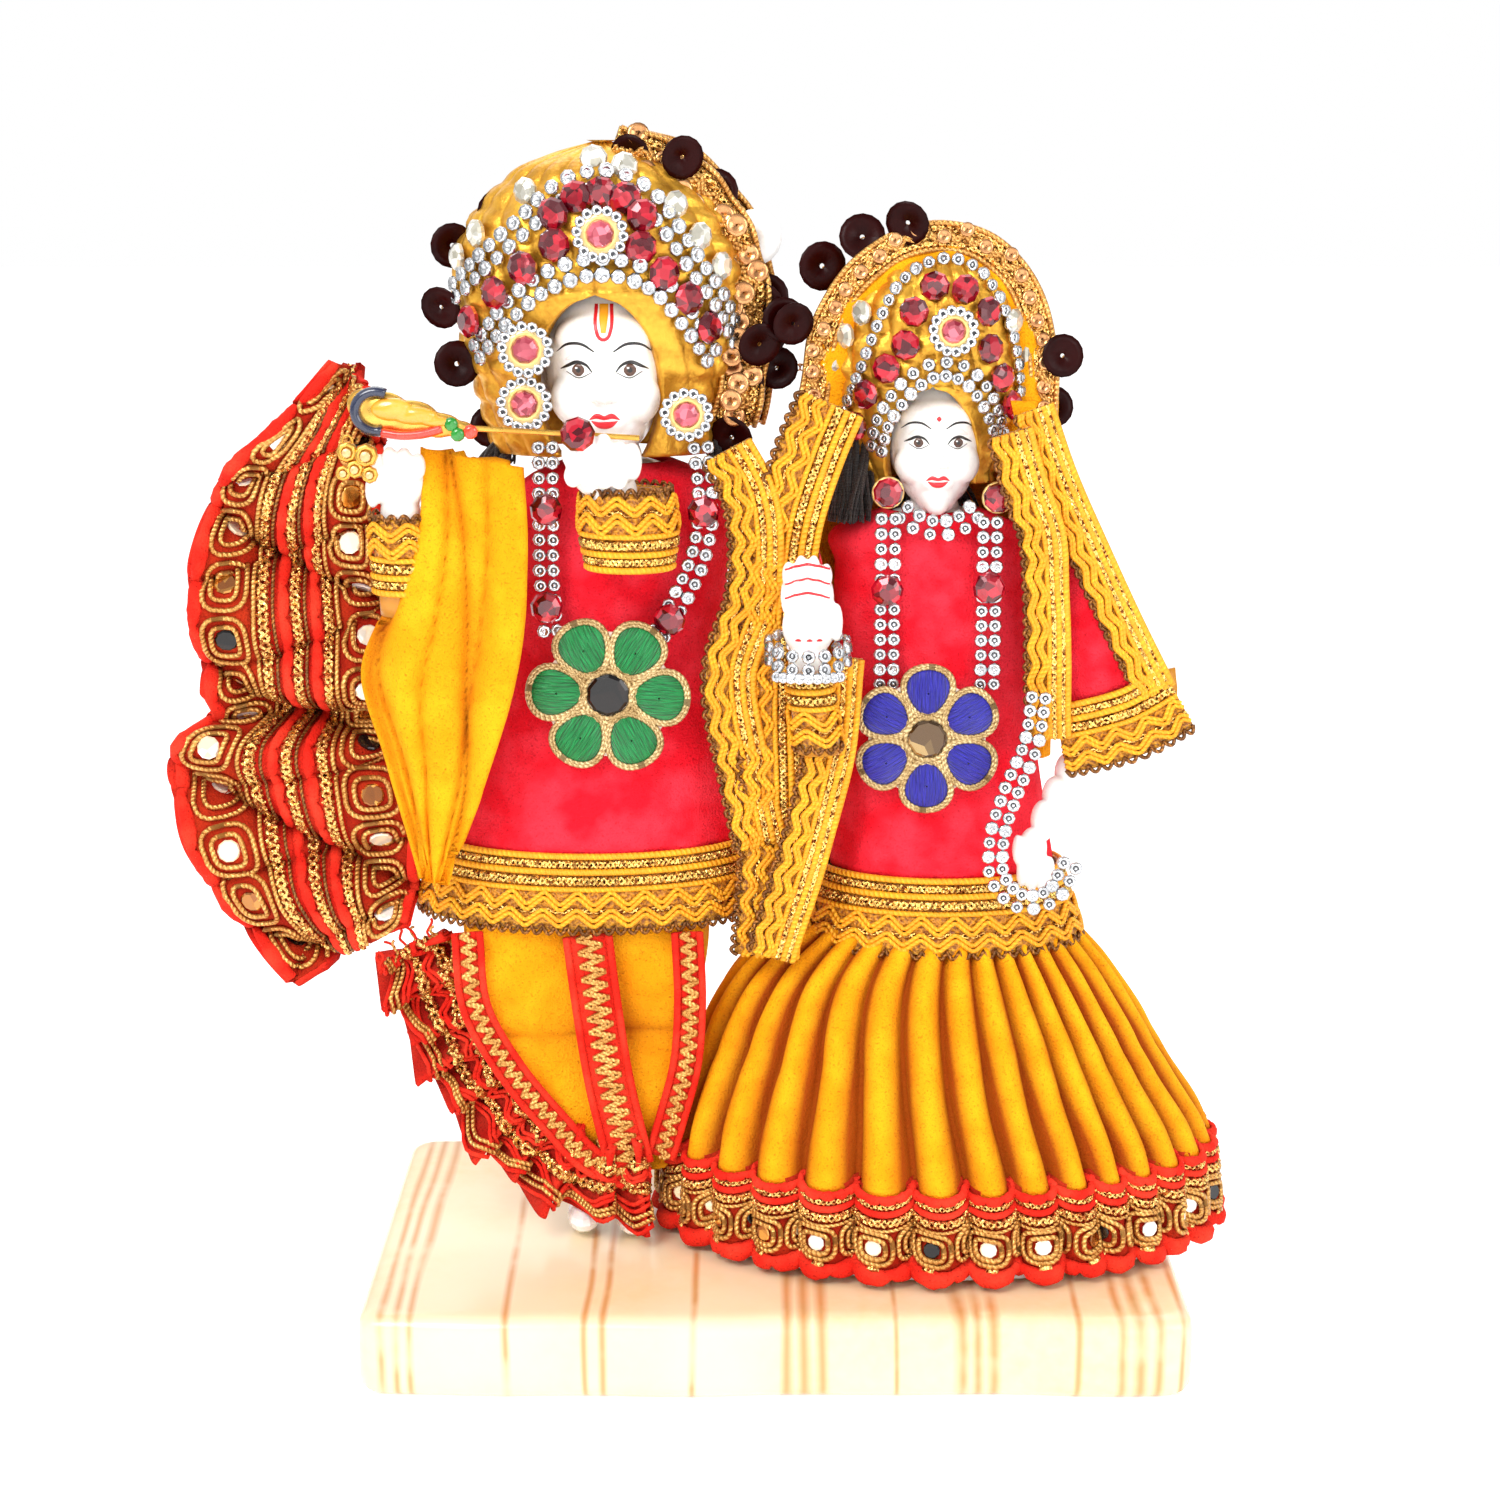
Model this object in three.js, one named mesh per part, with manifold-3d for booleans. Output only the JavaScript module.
// A pair of dressed shrine figures, a flute player and a lady, on one cast plinth.
// Millimetres. +X runs to the viewer's right, +Y to the back, +Z up.
// The origin is the middle of the plinth's flat underside.
//
// The white castings stand on the plinth and wear sewn velvet clothes, lace, bead rows and stones.
// The flute slides out of the hands, its bells swing, and the two necklaces and the string of
// beads at the lady's hand hang from one point each and lift away from the figures.
import * as THREE from "three";
import { mergeVertices } from "three/addons/utils/BufferGeometryUtils.js";
import Module from "manifold-3d";

const wasm = await Module();
wasm.setup();

// ---- driving dimensions ----

const GAP = 0.35; // air between neighbouring pieces
const VELVET = 1.4; // thickness of a lined velvet panel
const LACE = { thick: 1.2 };
const PLINTH = { width: 136, depth: 80, height: 14, edge: 2.5, corner: 4 };
const FLOOR = PLINTH.height + GAP;
const SIDES = 24; // sides of each loft
const BEAD_ROW = 1.2; // radius of a crown's bead row
const STRAND = { width: 4.4, thick: 1.5 };
const ROSETTE = 1.8; // height of a rosette
const SKIN_ROOM = VELVET + 0.8; // from a velvet panel's outside to the casting under it
const LEG_ROOM = 2;
const NET = 1.2; // thickness of dhoti cloth
const FLUTE = { radius: 0.45, hole: 0.8, y: -17, tipX: -21.5, tipZ: 153.6, slope: 0.058 };

const COLOURS = {
  cast: [0xf6f1ea, 0.3, 0],
  stoneSlab: [0xf3e6c8, 0.35, 0],
  gold: [0xd79a1e, 0.35, 0.8],
  redVelvet: [0xe0101c, 0.9, 0],
  yellowVelvet: [0xf7a400, 0.9, 0],
  lace: [0xe59a0c, 0.7, 0.2],
  border: [0xc8401a, 0.7, 0.2],
  hair: [0x120c0a, 0.4, 0],
  silver: [0xd8d8d6, 0.2, 0.9],
  redStone: [0x8e0b1a, 0.1, 0],
  thread: [0x0c7d3e, 0.6, 0],
  blueThread: [0x1d1fb4, 0.6, 0],
};

// ---- helpers ----

const root = new THREE.Group();

function add(name, geometry, colour) {
  const [color, roughness, metalness] = COLOURS[colour];
  const mesh = new THREE.Mesh(geometry, new THREE.MeshStandardMaterial({ color, roughness, metalness }));
  mesh.name = name;
  root.add(mesh);
}

/** The manifold solid of a closed geometry. */
function solidOf(geometry) {
  const plain = new THREE.BufferGeometry().setAttribute("position", geometry.getAttribute("position"));
  plain.setIndex(geometry.index);
  const merged = mergeVertices(plain, 1e-3);
  return new wasm.Manifold(
    new wasm.Mesh({
      numProp: 3,
      vertProperties: new Float32Array(merged.attributes.position.array),
      triVerts: new Uint32Array(merged.index.array),
    }),
  );
}

/** The geometry of a manifold solid. */
function geometryOf(solid) {
  const { vertProperties, triVerts } = solid.getMesh();
  return new THREE.BufferGeometry()
    .setAttribute("position", new THREE.BufferAttribute(vertProperties, 3))
    .setIndex(new THREE.BufferAttribute(triVerts, 1));
}

const cut = (geometry, ...tools) =>
  geometryOf(tools.reduce((left, tool) => left.subtract(solidOf(tool)), solidOf(geometry)));

const join = (geometry, ...others) =>
  geometryOf(others.reduce((whole, other) => whole.add(solidOf(other)), solidOf(geometry)));

const keep = (geometry, region) => geometryOf(solidOf(geometry).intersect(solidOf(region)));

/** A ring of a loft: an ellipse at height z about (x, y). */
const ring = (z, x, y, rx, ry) => ({ z, x, y, rx, ry });

/** A surface through a list of rings, whose ends are capped, or joined to each other if looped. */
function loft(rings, { looped = false, sides = SIDES } = {}) {
  const position = [];
  const index = [];
  for (const { x, y, z, rx, ry } of rings)
    for (let i = 0; i < sides; i++) {
      const turn = (2 * Math.PI * i) / sides;
      position.push(x + rx * Math.cos(turn), y + ry * Math.sin(turn), z);
    }
  const spans = looped ? rings.length : rings.length - 1;
  for (let r = 0; r < spans; r++)
    for (let i = 0; i < sides; i++) {
      const low = r * sides;
      const high = ((r + 1) % rings.length) * sides;
      const next = (i + 1) % sides;
      index.push(low + i, low + next, high + next, low + i, high + next, high + i);
    }
  if (!looped)
    for (const [r, turned] of [[0, true], [rings.length - 1, false]]) {
      const centre = position.length / 3;
      position.push(rings[r].x, rings[r].y, rings[r].z);
      for (let i = 0; i < sides; i++) {
        const edge = [r * sides + i, r * sides + ((i + 1) % sides)];
        index.push(centre, ...(turned ? edge.reverse() : edge));
      }
    }
  return new THREE.BufferGeometry()
    .setAttribute("position", new THREE.Float32BufferAttribute(position, 3))
    .setIndex(index);
}

/** Rings made smaller all round by an amount. */
const inset = (rings, by) => rings.map((r) => ({ ...r, rx: r.rx - by, ry: r.ry - by }));

/** The room that a loft takes up, with air round it. */
const roomOf = (rings, air = GAP) => loft(inset(rings, -air));

/** A tube of cloth, open at both ends: rings run upwards and are its outside. */
const sleeveOf = (rings, wall = VELVET) =>
  loft([...rings, ...inset(rings, wall).reverse()], { looped: true });

/** The ring of a loft at height z, worked out between its neighbours. */
function ringAt(rings, z) {
  const above = Math.max(1, rings.findIndex((r) => r.z >= z));
  const [a, b] = [rings[above - 1], rings[above]];
  const t = THREE.MathUtils.clamp((z - a.z) / (b.z - a.z), 0, 1);
  const mix = (key) => THREE.MathUtils.lerp(a[key], b[key], t);
  return ring(z, mix("x"), mix("y"), mix("rx"), mix("ry"));
}

/** The point on the front of a loft at (x, z), moved out along its normal by an amount. */
function onFront(rings, x, z, out) {
  const r = ringAt(rings, z);
  const side = THREE.MathUtils.clamp((x - r.x) / r.rx, -0.96, 0.96);
  const front = -Math.sqrt(1 - side * side);
  const normal = new THREE.Vector2(side / r.rx, front / r.ry).normalize();
  return new THREE.Vector3(r.x + side * r.rx + normal.x * out, r.y + front * r.ry + normal.y * out, z);
}

function ellipsoid(x, y, z, rx, ry, rz, sides = 16) {
  return new THREE.SphereGeometry(1, sides, sides / 2)
    .rotateX(Math.PI / 2)
    .scale(rx, ry, rz)
    .translate(x, y, z);
}

const box = (low, high) =>
  new THREE.BoxGeometry(high[0] - low[0], high[1] - low[1], high[2] - low[2]).translate(
    (low[0] + high[0]) / 2,
    (low[1] + high[1]) / 2,
    (low[2] + high[2]) / 2,
  );

/** A flat panel with an outline of [x, z] points, from yFront back by its thickness. */
function panel(outline, yFront, thick) {
  const shape = new THREE.Shape(outline.map(([x, z]) => new THREE.Vector2(x, z)));
  return new THREE.ExtrudeGeometry(shape, { depth: thick, bevelEnabled: false })
    .rotateX(Math.PI / 2)
    .translate(0, yFront + thick, 0);
}

/** A smooth closed outline through [x, z] points. */
function rounded(points, steps) {
  const curve = new THREE.CatmullRomCurve3(
    points.map(([x, z]) => new THREE.Vector3(x, 0, z)),
    true,
  );
  return curve.getSpacedPoints(steps).slice(0, -1).map((p) => [p.x, p.z]);
}

/** A flat ribbon of one width along a smooth line of [x, z] points. */
function ribbon(points, width, yFront, thick, steps = 12) {
  const curve = new THREE.CatmullRomCurve3(points.map(([x, z]) => new THREE.Vector3(x, 0, z)));
  const sides = [[], []];
  for (let i = 0; i <= steps; i++) {
    const at = curve.getPointAt(i / steps);
    const along = curve.getTangentAt(i / steps);
    sides[0].push([at.x - (along.z * width) / 2, at.z + (along.x * width) / 2]);
    sides[1].unshift([at.x + (along.z * width) / 2, at.z - (along.x * width) / 2]);
  }
  return panel([...sides[0], ...sides[1]], yFront, thick);
}

/** One strand of a necklace, whose front is at yFront. */
const strand = (points, yFront) => ribbon(points, STRAND.width, yFront, STRAND.thick);

/** A round bar along a smooth line of points. */
function bar(points, radius, steps = 16, sides = 6) {
  const section = new THREE.Shape(
    Array.from({ length: sides }, (_, i) => {
      const turn = (2 * Math.PI * i) / sides;
      return new THREE.Vector2(radius * Math.cos(turn), radius * Math.sin(turn));
    }),
  );
  const path = new THREE.CatmullRomCurve3(points.map((p) => (p.isVector3 ? p : new THREE.Vector3(...p))));
  return new THREE.ExtrudeGeometry(section, { steps, extrudePath: path, bevelEnabled: false });
}

/** A low domed disc that faces the front: a set stone or a rosette. */
function disc(x, yBack, z, radius, thick) {
  const rim = 0.45;
  const profile = [[0, 0], [radius, 0], [radius, thick * rim], [radius * 0.6, thick], [0, thick]];
  return new THREE.LatheGeometry(profile.map(([r, h]) => new THREE.Vector2(r, h)), 16)
    .rotateX(Math.PI)
    .translate(x, yBack, z);
}

/** A cylinder between two points. */
function rod(from, to, radiusFrom, radiusTo, sides = 16) {
  const [a, b] = [new THREE.Vector3(...from), new THREE.Vector3(...to)];
  const along = b.clone().sub(a);
  const upright = new THREE.Vector3(0, 1, 0);
  const turn = new THREE.Quaternion().setFromUnitVectors(upright, along.clone().normalize());
  return new THREE.CylinderGeometry(radiusTo, radiusFrom, along.length(), sides)
    .applyQuaternion(turn)
    .translate(...a.add(b).multiplyScalar(0.5).toArray());
}

// ---- plinth ----

function plinth() {
  const { width, depth, height, edge, corner } = PLINTH;
  const [w, d] = [width / 2 - edge, depth / 2 - edge];
  const shape = new THREE.Shape();
  shape.moveTo(-w + corner, -d);
  shape.lineTo(w - corner, -d);
  shape.absarc(w - corner, -d + corner, corner, -Math.PI / 2, 0);
  shape.lineTo(w, d - corner);
  shape.absarc(w - corner, d - corner, corner, 0, Math.PI / 2);
  shape.lineTo(-w + corner, d);
  shape.absarc(-w + corner, d - corner, corner, Math.PI / 2, Math.PI);
  shape.lineTo(-w, -d + corner);
  shape.absarc(-w + corner, -d + corner, corner, Math.PI, 1.5 * Math.PI);
  const slab = new THREE.ExtrudeGeometry(shape, {
    depth: height - 2 * edge,
    bevelThickness: edge,
    bevelSize: edge,
    bevelSegments: 2,
    curveSegments: 4,
  });
  add("plinth", slab.translate(0, 0, edge), "stoneSlab");
}

// ---- flute player ----

const PLAYER = {
  tunic: [
    ring(84.3, -31, 6, 26.5, 16.4),
    ring(98, -29.8, 6, 23.5, 14.5),
    ring(112, -28.4, 6, 20.8, 12.8),
    ring(128, -26.8, 6, 19.2, 12),
    ring(140, -25.6, 6, 19, 11.2),
    ring(145, -25.6, 6, 15, 9.5),
    ring(147.5, -25.8, 6, 9, 7.5),
  ],
  hem: [ring(69.8, -31.6, 6, 30.5, 18.8), ring(83.9, -31, 6, 27.6, 17)],
  head: { x: -27, y: 1.5, z: 162.2, rx: 10.4, ry: 11, rz: 14.4 },
  crown: [
    ring(149, -28, 5, 18.5, 11.5),
    ring(158, -28.4, 5, 20.5, 14),
    ring(168, -28.5, 5, 23, 16),
    ring(177, -28.5, 5, 24, 16.6),
    ring(185, -28.5, 5, 21.8, 15.2),
    ring(192, -28.3, 5, 16.5, 11.6),
    ring(196.5, -28, 5, 9.5, 6.8),
    ring(198.2, -28, 5, 3, 2.2),
  ],
  lipCuff: [
    ring(133.6, -23.4, -12.4, 7.2, 6),
    ring(138, -23.5, -12.6, 8, 6.5),
    ring(144.9, -23.8, -12.6, 7.6, 6.3),
  ],
  farCuff: [
    ring(124, -59, -9.4, 6.2, 4.6),
    ring(133, -59.6, -10.8, 5.8, 4.6),
    ring(141, -60, -12.4, 5.4, 4.4),
  ],
  dhotiLeft: [ring(26.5, -32.8, 0, 3.9, 5.5), ring(45, -37.6, 2, 7.4, 8.5), ring(69, -41.6, 4, 10.5, 12)],
  dhotiRight: [ring(30, -24.3, -1, 4, 5.3), ring(48, -21.8, 1.5, 7, 8.5), ring(69, -21.2, 4, 9.1, 12)],
};

function playerCasting() {
  const skin = inset(PLAYER.tunic, SKIN_ROOM);
  const torso = loft([ring(70.2, -31, 6, 20, 11), ...skin.slice(0, -1), ring(147.6, -26.4, 5.5, 5, 5.2)]);
  const legs = [PLAYER.dhotiLeft, PLAYER.dhotiRight].map((dhoti) => {
    const [shin, knee, hip] = inset(dhoti, LEG_ROOM);
    const leg = loft([{ ...shin, z: FLOOR + 2 }, shin, knee, hip, { ...hip, z: 72 }]);
    return join(leg, ellipsoid(shin.x, shin.y - 3, FLOOR + 2.7, 3.1, 6.5, 2.6, 16));
  });
  add("player_casting", join(torso, ...legs), "cast");
}

function playerHead() {
  const { x, y, z, rx, ry, rz } = PLAYER.head;
  const face = ellipsoid(x, y, z, rx, ry, rz);
  const neckRoom = box([x - 20, y - 20, 140], [x + 20, y + 20, 148]);
  add("player_head", cut(face, neckRoom), "cast");

  const room = ellipsoid(x, y, z, rx + GAP, ry + GAP, rz + GAP);
  const faceWindow = ellipsoid(x, y - 12, z - 2, 10.6, 16, 16.4);
  const neckWindow = rod([x, y + 3, 140], [x, y + 3, 160], 7.5, 7.5);
  add("player_crown", cut(loft(PLAYER.crown), room, faceWindow, neckWindow), "gold");
}

function playerCrownTrim() {
  const row = (points, steps) => {
    const places = points.map(([x, z]) => onFront(PLAYER.crown, x, z, BEAD_ROW + 2 * GAP));
    return bar(places, BEAD_ROW, steps);
  };
  const outer = [
    [-50.5, 175.5], [-44.4, 181.5], [-38.3, 187], [-33.1, 191.6], [-27.5, 193.2], [-21.5, 191],
    [-16.9, 185.3], [-13.2, 179.5], [-9.4, 173.5], [-7.4, 168],
  ];
  const inner = [
    [-46.9, 166], [-42.5, 171.8], [-36.1, 177.4], [-27.6, 179.9], [-20, 177.8], [-14.6, 171.5],
    [-11.2, 165.5],
  ];
  const stones = [
    [-48.2, 170.8], [-43.8, 176.3], [-38.7, 181.3], [-33.6, 185.9], [-27.8, 188.6], [-22, 186],
    [-17.2, 180.3], [-13, 174.8], [-10.4, 169.4],
  ];
  add("player_crown_outer_beads", row(outer, 20), "silver");
  add("player_crown_inner_beads", row(inner, 16), "silver");
  add("player_crown_stones", row(stones, 16), "redStone");

  const cap = loft(PLAYER.crown.map((r) => ({ ...r, rx: r.rx + 3.6, ry: r.ry + 2, z: r.z + 1.2 })));
  const band = keep(cap, box([-22, 2, 151], [0, 13, 199.4]));
  add("player_crown_lace", cut(band, roomOf(PLAYER.crown)), "gold");
}

function playerRosettes() {
  const rosettes = [
    ["player_crown_rosette", -27.5, -13.9, 184.9, 4],
    ["player_cheek_rosette_upper", -39.6, -13, 166.9, 4.2],
    ["player_cheek_rosette_lower", -40, -13, 158.2, 4.2],
    ["player_cheek_rosette_right", -14.2, -13, 156.5, 4.2],
  ];
  for (const [name, x, y, z, radius] of rosettes) add(name, disc(x, y, z, radius, ROSETTE), "silver");
}

/** A point on the flute's axis, this far from its tip. */
const onFlute = (far) => [FLUTE.tipX - far, FLUTE.y, FLUTE.tipZ + far * FLUTE.slope];

function playerHands() {
  const palm = ellipsoid(-28, -16.6, 151.8, 6.2, 4.6, 6.4);
  add("player_lip_hand", cut(palm, rod(onFlute(-8), onFlute(24), FLUTE.hole, FLUTE.hole, 12)), "cast");

  add("player_lip_cuff", loft(PLAYER.lipCuff), "lace");

  const wrist = rod([-60, -12.4, 141.4], [-60, -12.6, 146], 3.2, 3.4);
  const hand = join(ellipsoid(-60, -12.6, 146.3, 4.6, 3.8, 5), wrist);
  add("player_far_hand", hand, "cast");
  add("player_far_cuff", loft(PLAYER.farCuff), "lace");
}

function playerClothes() {
  add("player_tunic", sleeveOf(PLAYER.tunic), "redVelvet");
  add("player_tunic_hem_lace", sleeveOf(PLAYER.hem, LACE.thick), "lace");
  const sideEdge = [[-4.5, 146], [-4.2, 128], [-9.2, 114], [-6, 98], [-2, 85]];
  add("player_side_lace", ribbon(sideEdge, 8, -9.2, LACE.thick), "lace");

  const shawl = [
    [-55, 151.5], [-47, 149], [-41, 144], [-39.9, 134], [-40.6, 121], [-45, 105], [-51, 91],
    [-56, 81], [-59.5, 94], [-63, 105], [-66.5, 113], [-64.5, 121], [-60, 129], [-55.5, 139],
  ];
  const rooms = [PLAYER.tunic, PLAYER.hem, PLAYER.farCuff].map((rings) => roomOf(rings));
  const handRoom = box([-66, -17, 140.6], [-54.4, -5, 153]);
  add("player_shawl", cut(panel(rounded(shawl, 40), -20.6, 16.2), handRoom, ...rooms), "yellowVelvet");

  const fan = [
    [-69.4, 163.8], [-79.4, 154.5], [-91, 145.5], [-95.5, 134.4], [-97, 121], [-95, 108],
    [-101.4, 102], [-100.5, 88.5], [-95.5, 75], [-86.1, 59.5], [-76.5, 63], [-68.4, 69.8],
    [-61, 74], [-62, 93.5], [-66, 104], [-65, 122], [-66.8, 138], [-66, 152],
  ];
  add("player_shawl_border", panel(rounded(fan, 56), -4, 9), "border");

  add("player_dhoti_left", sleeveOf(PLAYER.dhotiLeft, NET), "yellowVelvet");
  add("player_dhoti_right", sleeveOf(PLAYER.dhotiRight, NET), "yellowVelvet");
  const pleat = [[-31, 68.6], [-29.6, 57.6], [-27.6, 43.3], [-25, 29]];
  add("player_dhoti_pleat", ribbon(pleat, 6.4, -10.4, 1.6), "border");

  const ruffle = [
    [-66, 66], [-65, 54], [-59.5, 40], [-54.6, 29], [-45, 19.5], [-38.6, 15.6], [-37.4, 20.5],
    [-42.4, 27], [-47.5, 37], [-53.5, 48], [-57, 60], [-59, 67],
  ];
  add("player_dhoti_ruffle", panel(rounded(ruffle, 36), -3, 7), "border");
}

function playerNecklace() {
  const left = [[-37, 151], [-37, 141], [-37.1, 130], [-36.6, 121]];
  const right = [[-12, 151], [-11.3, 140.5], [-12.6, 133], [-16.6, 124.5], [-19, 120.6]];
  add("player_necklace_left", strand(left, -8.6), "silver");
  add("player_necklace_right", strand(right, -8.6), "silver");
  add("player_pendant", disc(-27.3, -8.95, 110.8, 13, 1.9), "thread");
}

// ---- flute ----

function flute() {
  add("flute_rod", rod(onFlute(0), onFlute(26), FLUTE.radius, FLUTE.radius, 12), "gold");
  const bird = [
    [-47.8, 153.8], [-52, 152.8], [-57, 152.8], [-62, 153.4], [-65.4, 155.2], [-66.6, 158],
    [-65.4, 161], [-62.5, 162], [-58, 160.3], [-53, 158.2], [-48.6, 156.6],
  ];
  add("flute_bird", panel(rounded(bird, 30), FLUTE.y - 1.1, 2.2), "gold");
  const hang = [-66.8, FLUTE.y, 153.6];
  const bells = join(
    ellipsoid(hang[0], hang[1], hang[2] - 4.2, 1.5, 1.5, 1.5, 12),
    ellipsoid(hang[0], hang[1], hang[2] - 6.6, 1.7, 1.7, 1.7, 12),
    rod(hang, [hang[0], hang[1], hang[2] - 5], 0.6, 0.6, 8),
  );
  add("flute_bells", bells, "gold");
}

// ---- lady ----

const LADY = {
  blouse: [
    ring(79.6, 28.5, 4, 19.3, 12.6),
    ring(96, 27.6, 4, 17.6, 11.4),
    ring(114, 26.6, 4, 16.2, 10.4),
    ring(130, 25.8, 4, 16, 9.8),
    ring(137, 25.5, 4, 14.6, 8.8),
    ring(139.6, 26, 4, 8, 6.6),
  ],
  hem: [ring(64.8, 28.8, 4, 25.4, 15.8), ring(79.2, 28.5, 4, 21, 13.6)],
  skirt: [ring(31.3, 28.5, 4, 46.5, 30.6), ring(46, 26.8, 4, 40, 24.6), ring(64.4, 24.6, 4, 31.4, 16.6)],
  border: [ring(14.8, 29.3, 4, 49, 33), ring(30.9, 28.5, 4, 47, 31)],
  cone: [ // the moulded underskirt that holds the velvet out
    ring(FLOOR, 29.2, 4, 45.4, 29.4),
    ring(31, 28.5, 4, 43.2, 27.4),
    ring(46, 26.8, 4, 36.6, 21.2),
    ring(62, 26.5, 4, 24, 12.4),
    ring(64, 28, 4, 20.6, 11.4),
  ],
  head: { x: 26.5, y: 4, z: 150.6, rx: 7.9, ry: 9, rz: 10.4 },
  crown: [
    ring(144, 25.6, 6, 11, 8.5),
    ring(151, 25.4, 6, 13.4, 11),
    ring(159, 25.2, 6, 15.8, 13),
    ring(167, 25.4, 6, 15.4, 13),
    ring(174, 25.8, 6, 11.4, 10),
    ring(177.6, 26.4, 6, 4.6, 4),
    ring(179.4, 26.6, 6, 1.6, 1.4),
  ],
  veil: [
    ring(98, 26, 6.5, 21, 17),
    ring(128, 26, 7, 21.4, 16),
    ring(150, 25.6, 7.5, 20.8, 17),
    ring(163, 25.6, 7.5, 20.2, 17),
    ring(173, 25.8, 7.5, 16.4, 14.5),
    ring(181, 26.2, 7.5, 9.4, 9),
    ring(184.8, 26.6, 7.5, 3, 3),
  ],
};

function ladyCasting() {
  const skin = inset(LADY.blouse, SKIN_ROOM);
  add("lady_casting", loft([...LADY.cone, ...skin.slice(0, -1), ring(139.8, 26.4, 4.5, 4, 4)]), "cast");
}

function ladyHead() {
  const { x, y, z, rx, ry, rz } = LADY.head;
  add("lady_head", ellipsoid(x, y, z, rx, ry, rz), "cast");
  const room = ellipsoid(x, y, z, rx + GAP, ry + GAP, rz + GAP);
  const faceWindow = ellipsoid(x, y - 10, z - 2.5, 7.6, 14, 13.2);
  const neckWindow = rod([x, y, 136], [x, y, 150], 5.4, 5.4);
  add("lady_crown", cut(loft(LADY.crown), room, faceWindow, neckWindow), "gold");

  const veilInside = loft([ring(90, 26, 6.5, 19.6, 15.6), ...inset(LADY.veil, VELVET).slice(0, -1)]);
  const front = box([-5, -20, 90], [60, 3, 190]);
  add("lady_veil", cut(loft(LADY.veil), veilInside, front), "yellowVelvet");

  const braid = loft([ring(140.2, 26, 12.6, 13.4, 3), ring(146, 25.6, 12, 12.4, 3)]);
  add("lady_hair", cut(braid, roomOf(LADY.crown), room), "hair");
}

function ladyCrownTrim() {
  const thin = BEAD_ROW - 0.2;
  const row = (points, steps) => {
    const places = points.map(([x, z]) => onFront(LADY.crown, x, z, thin + 3.5 * GAP));
    return bar(places, thin, steps);
  };
  const outer = [
    [11.4, 156], [12.9, 163], [16.2, 168.6], [20, 173.6], [25, 177], [29.4, 176], [33.6, 172.6],
    [37.2, 167.8], [39.6, 161], [39, 153.5],
  ];
  const inner = [
    [16.9, 150.5], [17.4, 155.5], [19.4, 160.8], [23, 164.2], [27.6, 165.4], [32, 163.4],
    [35, 158.8], [36, 153.5],
  ];
  const stones = [
    [13.7, 152.2], [15, 158.6], [17.8, 164.2], [21.6, 169], [26.2, 171.9], [30.9, 169.9],
    [34.6, 165], [37.3, 159.4],
  ];
  add("lady_crown_outer_beads", row(outer, 20), "silver");
  add("lady_crown_inner_beads", row(inner, 16), "silver");
  add("lady_crown_stones", row(stones, 16), "redStone");
  add("lady_crown_rosette", disc(28.2, -10.4, 169.6, 3.8, ROSETTE), "silver");
  for (const [side, x, z] of [["left", 18.2, 143.6], ["right", 36, 142.8]])
    add(`lady_${side}_earring`, disc(x, -6.6, z, 2.6, 1.6), "redStone");
  const collar = [
    [22, -6.7, 139.2], [24.2, -6.8, 138.2], [26.6, -7, 137.8], [29, -6.8, 138.2],
    [31, -6.7, 139.2],
  ];
  add("lady_choker", bar(collar, BEAD_ROW), "silver");
}

function ladyArms() {
  const palm = join(
    ellipsoid(5.4, -17.4, 124, 4.9, 3, 6.4),
    ellipsoid(5, -17.2, 131, 4.2, 2.4, 5.2),
    rod([5.2, -16, 117], [5.4, -17, 122], 3.4, 3.6),
  );
  add("lady_raised_hand", palm, "cast");
  const bangle = new THREE.TorusGeometry(6.2, 1.2, 6, 16).scale(1, 0.85, 1).translate(5.2, -16.4, 119.2);
  add("lady_bracelet", bangle, "silver");
  add("lady_raised_sleeve", rod([6.8, -14.6, 103], [5.2, -15.6, 116], 3.6, 3.2), "lace");

  const forearm = rod([50.2, -3.4, 96.4], [44, -9, 86.5], 3.2, 2.7);
  add("lady_hanging_hand", join(forearm, ellipsoid(42.6, -9.6, 83.4, 3.3, 2.6, 5.2)), "cast");
}

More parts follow.
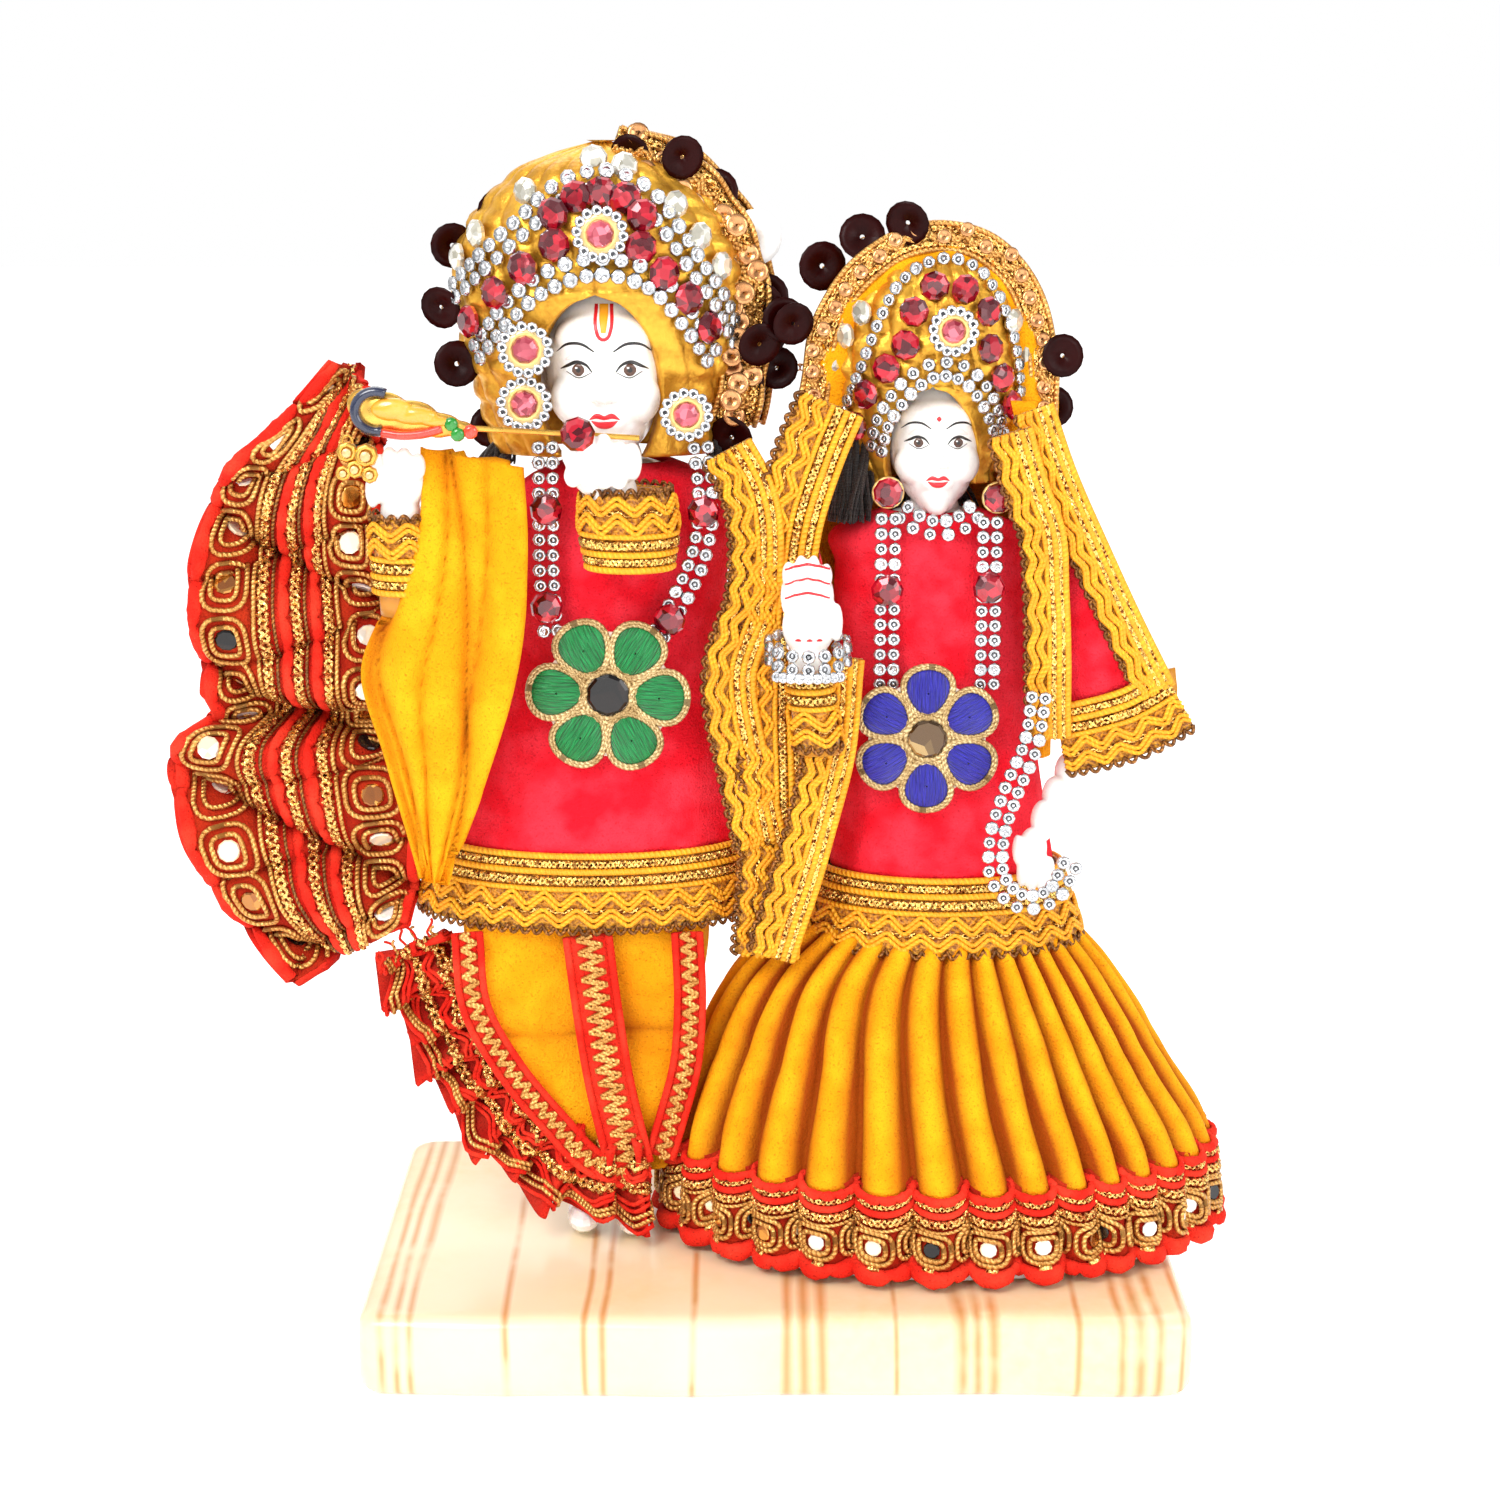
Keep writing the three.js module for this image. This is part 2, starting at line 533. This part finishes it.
function ladyClothes() {
  add("lady_blouse", sleeveOf(LADY.blouse), "redVelvet");
  add("lady_blouse_hem_lace", sleeveOf(LADY.hem, LACE.thick), "lace");
  add("lady_skirt", sleeveOf(LADY.skirt), "yellowVelvet");
  add("lady_skirt_border", sleeveOf(LADY.border), "border");

  const leftDrop = [[3.6, 151], [1, 141], [0, 130], [-1, 109], [0, 87], [-2, 66]];
  add("lady_veil_left_drop", ribbon(leftDrop, 9.4, -7.8, LACE.thick), "lace");
  add("lady_veil_end", ribbon([[9, 117], [7.6, 101], [4.4, 86], [-1.4, 69]], 7.6, -10.6, LACE.thick), "lace");
  const rightDrop = [[40.6, 154], [42.6, 143], [43.4, 130], [44, 116], [45, 104]];
  add("lady_veil_right_drop", ribbon(rightDrop, 7.4, -8.6, LACE.thick), "lace");

  const sleeve = [
    [46, 142], [51, 145.4], [60, 127.6], [66.4, 114.4], [57, 111.4], [48.6, 108.6], [47.4, 124],
  ];
  add("lady_sleeve", panel(sleeve, -5.6, 7), "redVelvet");
  const sleeveHem = [
    [67, 113.8], [68.8, 109.2], [64, 104], [57, 98.6], [50.4, 97.4], [48.8, 108.2], [57.2, 111],
  ];
  add("lady_sleeve_lace", panel(sleeveHem, -5.6, 7), "lace");
}

function ladyJewels() {
  for (const [side, x, top] of [["left", 18.3, 140.6], ["right", 34.8, 139.8]])
    add(`lady_necklace_${side}`, strand([[x, top], [x, 130], [x, 112]], -8.1), "silver");
  add("lady_pendant", disc(25, -8.45, 103.3, 12.2, 1.9), "blueThread");
  const garland = [
    [43.4, -10.4, 112], [41.4, -11.6, 103.5], [38, -13, 95], [36, -14, 87], [36.8, -14.2, 80.5],
    [40.6, -14.2, 77], [45.4, -14.2, 78], [48.4, -13.8, 83],
  ];
  add("lady_hand_beads", bar(garland, 1.5, 20), "silver");
}

plinth();
playerCasting();
playerHead();
playerCrownTrim();
playerRosettes();
playerHands();
playerClothes();
playerNecklace();
flute();
ladyCasting();
ladyHead();
ladyCrownTrim();
ladyArms();
ladyClothes();
ladyJewels();

export default root;
